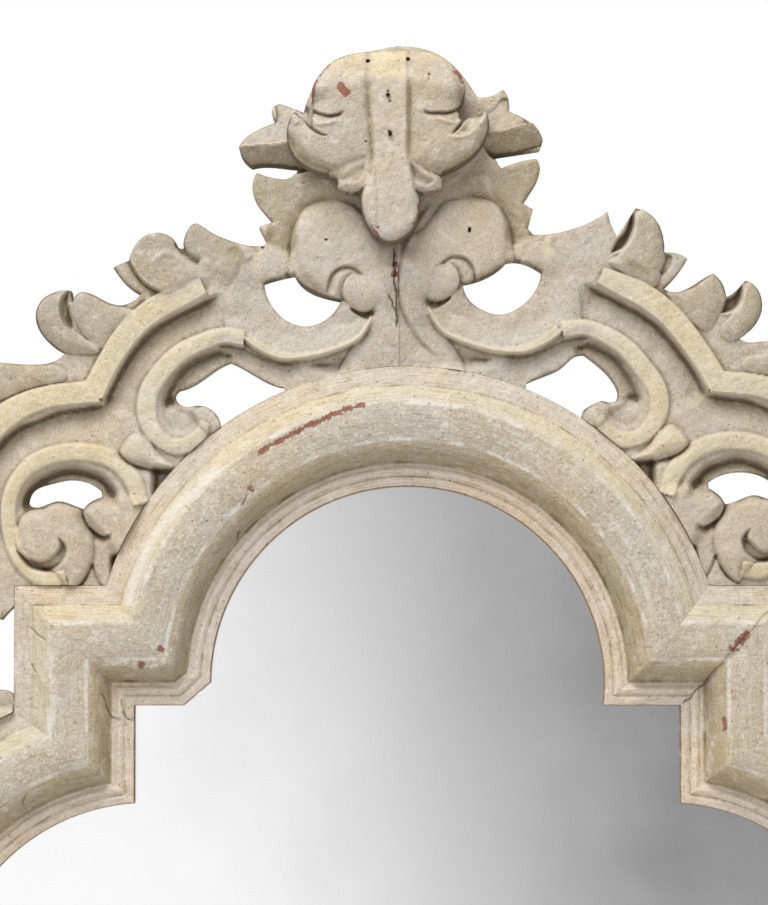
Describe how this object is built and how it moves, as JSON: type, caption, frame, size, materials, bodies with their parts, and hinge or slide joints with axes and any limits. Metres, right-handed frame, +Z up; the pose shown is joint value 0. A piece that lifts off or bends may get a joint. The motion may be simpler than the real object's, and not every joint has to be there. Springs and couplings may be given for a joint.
{
  "type": "ornate wall mirror",
  "caption": "Large wall mirror in a barbed quatrefoil frame of mitred mouldings with pierced carved scrolls, a tall crest and a nailed cartouche, hung by rings on its back.",
  "frame": {"origin": "middle of the mirror plate on the wall plane that the bumpers touch", "axes": "+X to the viewer's right, +Y into the wall, +Z up; the mirror faces -Y"},
  "size_m": [0.9746, 0.0772, 1.4268],
  "materials": {
    "painted_moulding": "worn cream and grey paint on wood",
    "painted_carving": "worn cream and grey paint on carved wood",
    "mirror_glass": "silvered plate",
    "backboard_wood": "bare board",
    "bare_wood": "bare planed wood",
    "nail_iron": "dark oxidised",
    "screw_steel": "zinc plated",
    "hanger_steel": "zinc plated",
    "button_brass": "dull brass",
    "bumper_rubber": "matt"
  },
  "bodies": {
    "frame": {"arch_rail_top": "painted_moulding", "arch_rail_bottom": "painted_moulding", "lobe_rail_left": "painted_moulding", "lobe_rail_right": "painted_moulding", "shelf_rail_top_left": "painted_moulding", "shelf_rail_top_right": "painted_moulding", "shelf_rail_bottom_left": "painted_moulding", "shelf_rail_bottom_right": "painted_moulding", "step_rail_left_top": "painted_moulding", "step_rail_left_bottom": "painted_moulding", "step_rail_right_top": "painted_moulding", "step_rail_right_bottom": "painted_moulding", "crest_left": "painted_carving", "crest_right": "painted_carving", "apron_left": "painted_carving", "apron_right": "painted_carving", "shoulder_scroll_top_left": "painted_carving", "shoulder_scroll_top_right": "painted_carving", "shoulder_scroll_bottom_left": "painted_carving", "shoulder_scroll_bottom_right": "painted_carving", "flank_scroll_left": "painted_carving", "flank_scroll_right": "painted_carving", "cartouche": "painted_carving", "mirror_plate": "mirror_glass", "backboard": "backboard_wood", "crest_batten": "bare_wood", "apron_batten": "bare_wood", "mitre_keys": "bare_wood", "cartouche_nails": "nail_iron", "batten_screws": "screw_steel", "turn_button_screws": "screw_steel", "hanger_screws": "screw_steel", "hanger_strap_left": "hanger_steel", "hanger_strap_right": "hanger_steel", "wall_bumpers": "bumper_rubber"},
    "turn_button_1": {"turn_button_1": "button_brass"},
    "turn_button_2": {"turn_button_2": "button_brass"},
    "turn_button_3": {"turn_button_3": "button_brass"},
    "turn_button_4": {"turn_button_4": "button_brass"},
    "turn_button_5": {"turn_button_5": "button_brass"},
    "turn_button_6": {"turn_button_6": "button_brass"},
    "turn_button_7": {"turn_button_7": "button_brass"},
    "turn_button_8": {"turn_button_8": "button_brass"},
    "hanger_ring_left": {"hanger_ring_left": "hanger_steel"},
    "hanger_ring_right": {"hanger_ring_right": "hanger_steel"}
  },
  "joints": [
    {"name": "turn_button_1_turn", "type": "hinge", "parent": "frame", "child": "turn_button_1", "pos_m": [0.14184, -0.00895, 0.37085], "axis": [0, 1, 0], "continuous": true},
    {"name": "turn_button_2_turn", "type": "hinge", "parent": "frame", "child": "turn_button_2", "pos_m": [-0.14184, -0.00895, 0.37085], "axis": [0, 1, 0], "continuous": true},
    {"name": "turn_button_3_turn", "type": "hinge", "parent": "frame", "child": "turn_button_3", "pos_m": [-0.32248, -0.00895, 0.14657], "axis": [0, 1, 0], "continuous": true},
    {"name": "turn_button_4_turn", "type": "hinge", "parent": "frame", "child": "turn_button_4", "pos_m": [-0.32248, -0.00895, -0.14657], "axis": [0, 1, 0], "continuous": true},
    {"name": "turn_button_5_turn", "type": "hinge", "parent": "frame", "child": "turn_button_5", "pos_m": [-0.14184, -0.00895, -0.37085], "axis": [0, 1, 0], "continuous": true},
    {"name": "turn_button_6_turn", "type": "hinge", "parent": "frame", "child": "turn_button_6", "pos_m": [0.14184, -0.00895, -0.37085], "axis": [0, 1, 0], "continuous": true},
    {"name": "turn_button_7_turn", "type": "hinge", "parent": "frame", "child": "turn_button_7", "pos_m": [0.32248, -0.00895, -0.14657], "axis": [0, 1, 0], "continuous": true},
    {"name": "turn_button_8_turn", "type": "hinge", "parent": "frame", "child": "turn_button_8", "pos_m": [0.32248, -0.00895, 0.14657], "axis": [0, 1, 0], "continuous": true},
    {"name": "hanger_ring_left_swing", "type": "hinge", "parent": "frame", "child": "hanger_ring_left", "pos_m": [-0.38373, -0.00615, 0.11855], "axis": [1, 0, 0], "range_deg": [0, 180]},
    {"name": "hanger_ring_right_swing", "type": "hinge", "parent": "frame", "child": "hanger_ring_right", "pos_m": [0.38373, -0.00615, 0.11855], "axis": [1, 0, 0], "range_deg": [0, 180]}
  ]
}
